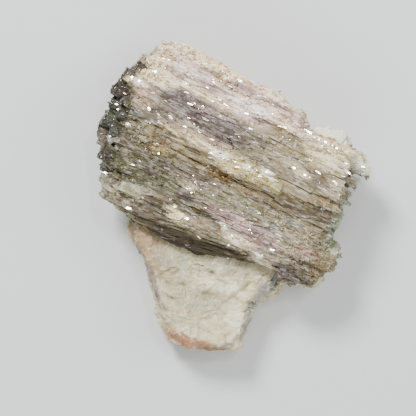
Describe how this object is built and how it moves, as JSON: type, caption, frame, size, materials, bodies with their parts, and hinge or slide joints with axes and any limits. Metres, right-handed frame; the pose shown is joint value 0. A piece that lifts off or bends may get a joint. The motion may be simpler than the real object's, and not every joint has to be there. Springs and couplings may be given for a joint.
{
  "type": "watermelon tourmaline specimen",
  "caption": "Mineral specimen lying on its back: a slab of parallel tourmaline crystals, lilac inside with a green rind, grown on a wedge of white quartz.",
  "frame": {"origin": "middle of the bounding box's underside: the flat back of the quartz, on which the specimen lies", "axes": "+Z up out of the striated face, +Y from the quartz wedge's tip to the top edge of the crystals, +X to the right when seen from above with +Y up"},
  "size_m": [0.075, 0.0856, 0.026],
  "materials": {
    "tourmaline": "striated lilac-grey crystal with a green rind, glassy facets",
    "quartz": "milky white broken quartz with grey and tan stains"
  },
  "bodies": {
    "root": {"tourmaline_crystals": "tourmaline", "quartz_matrix": "quartz"}
  },
  "joints": []
}
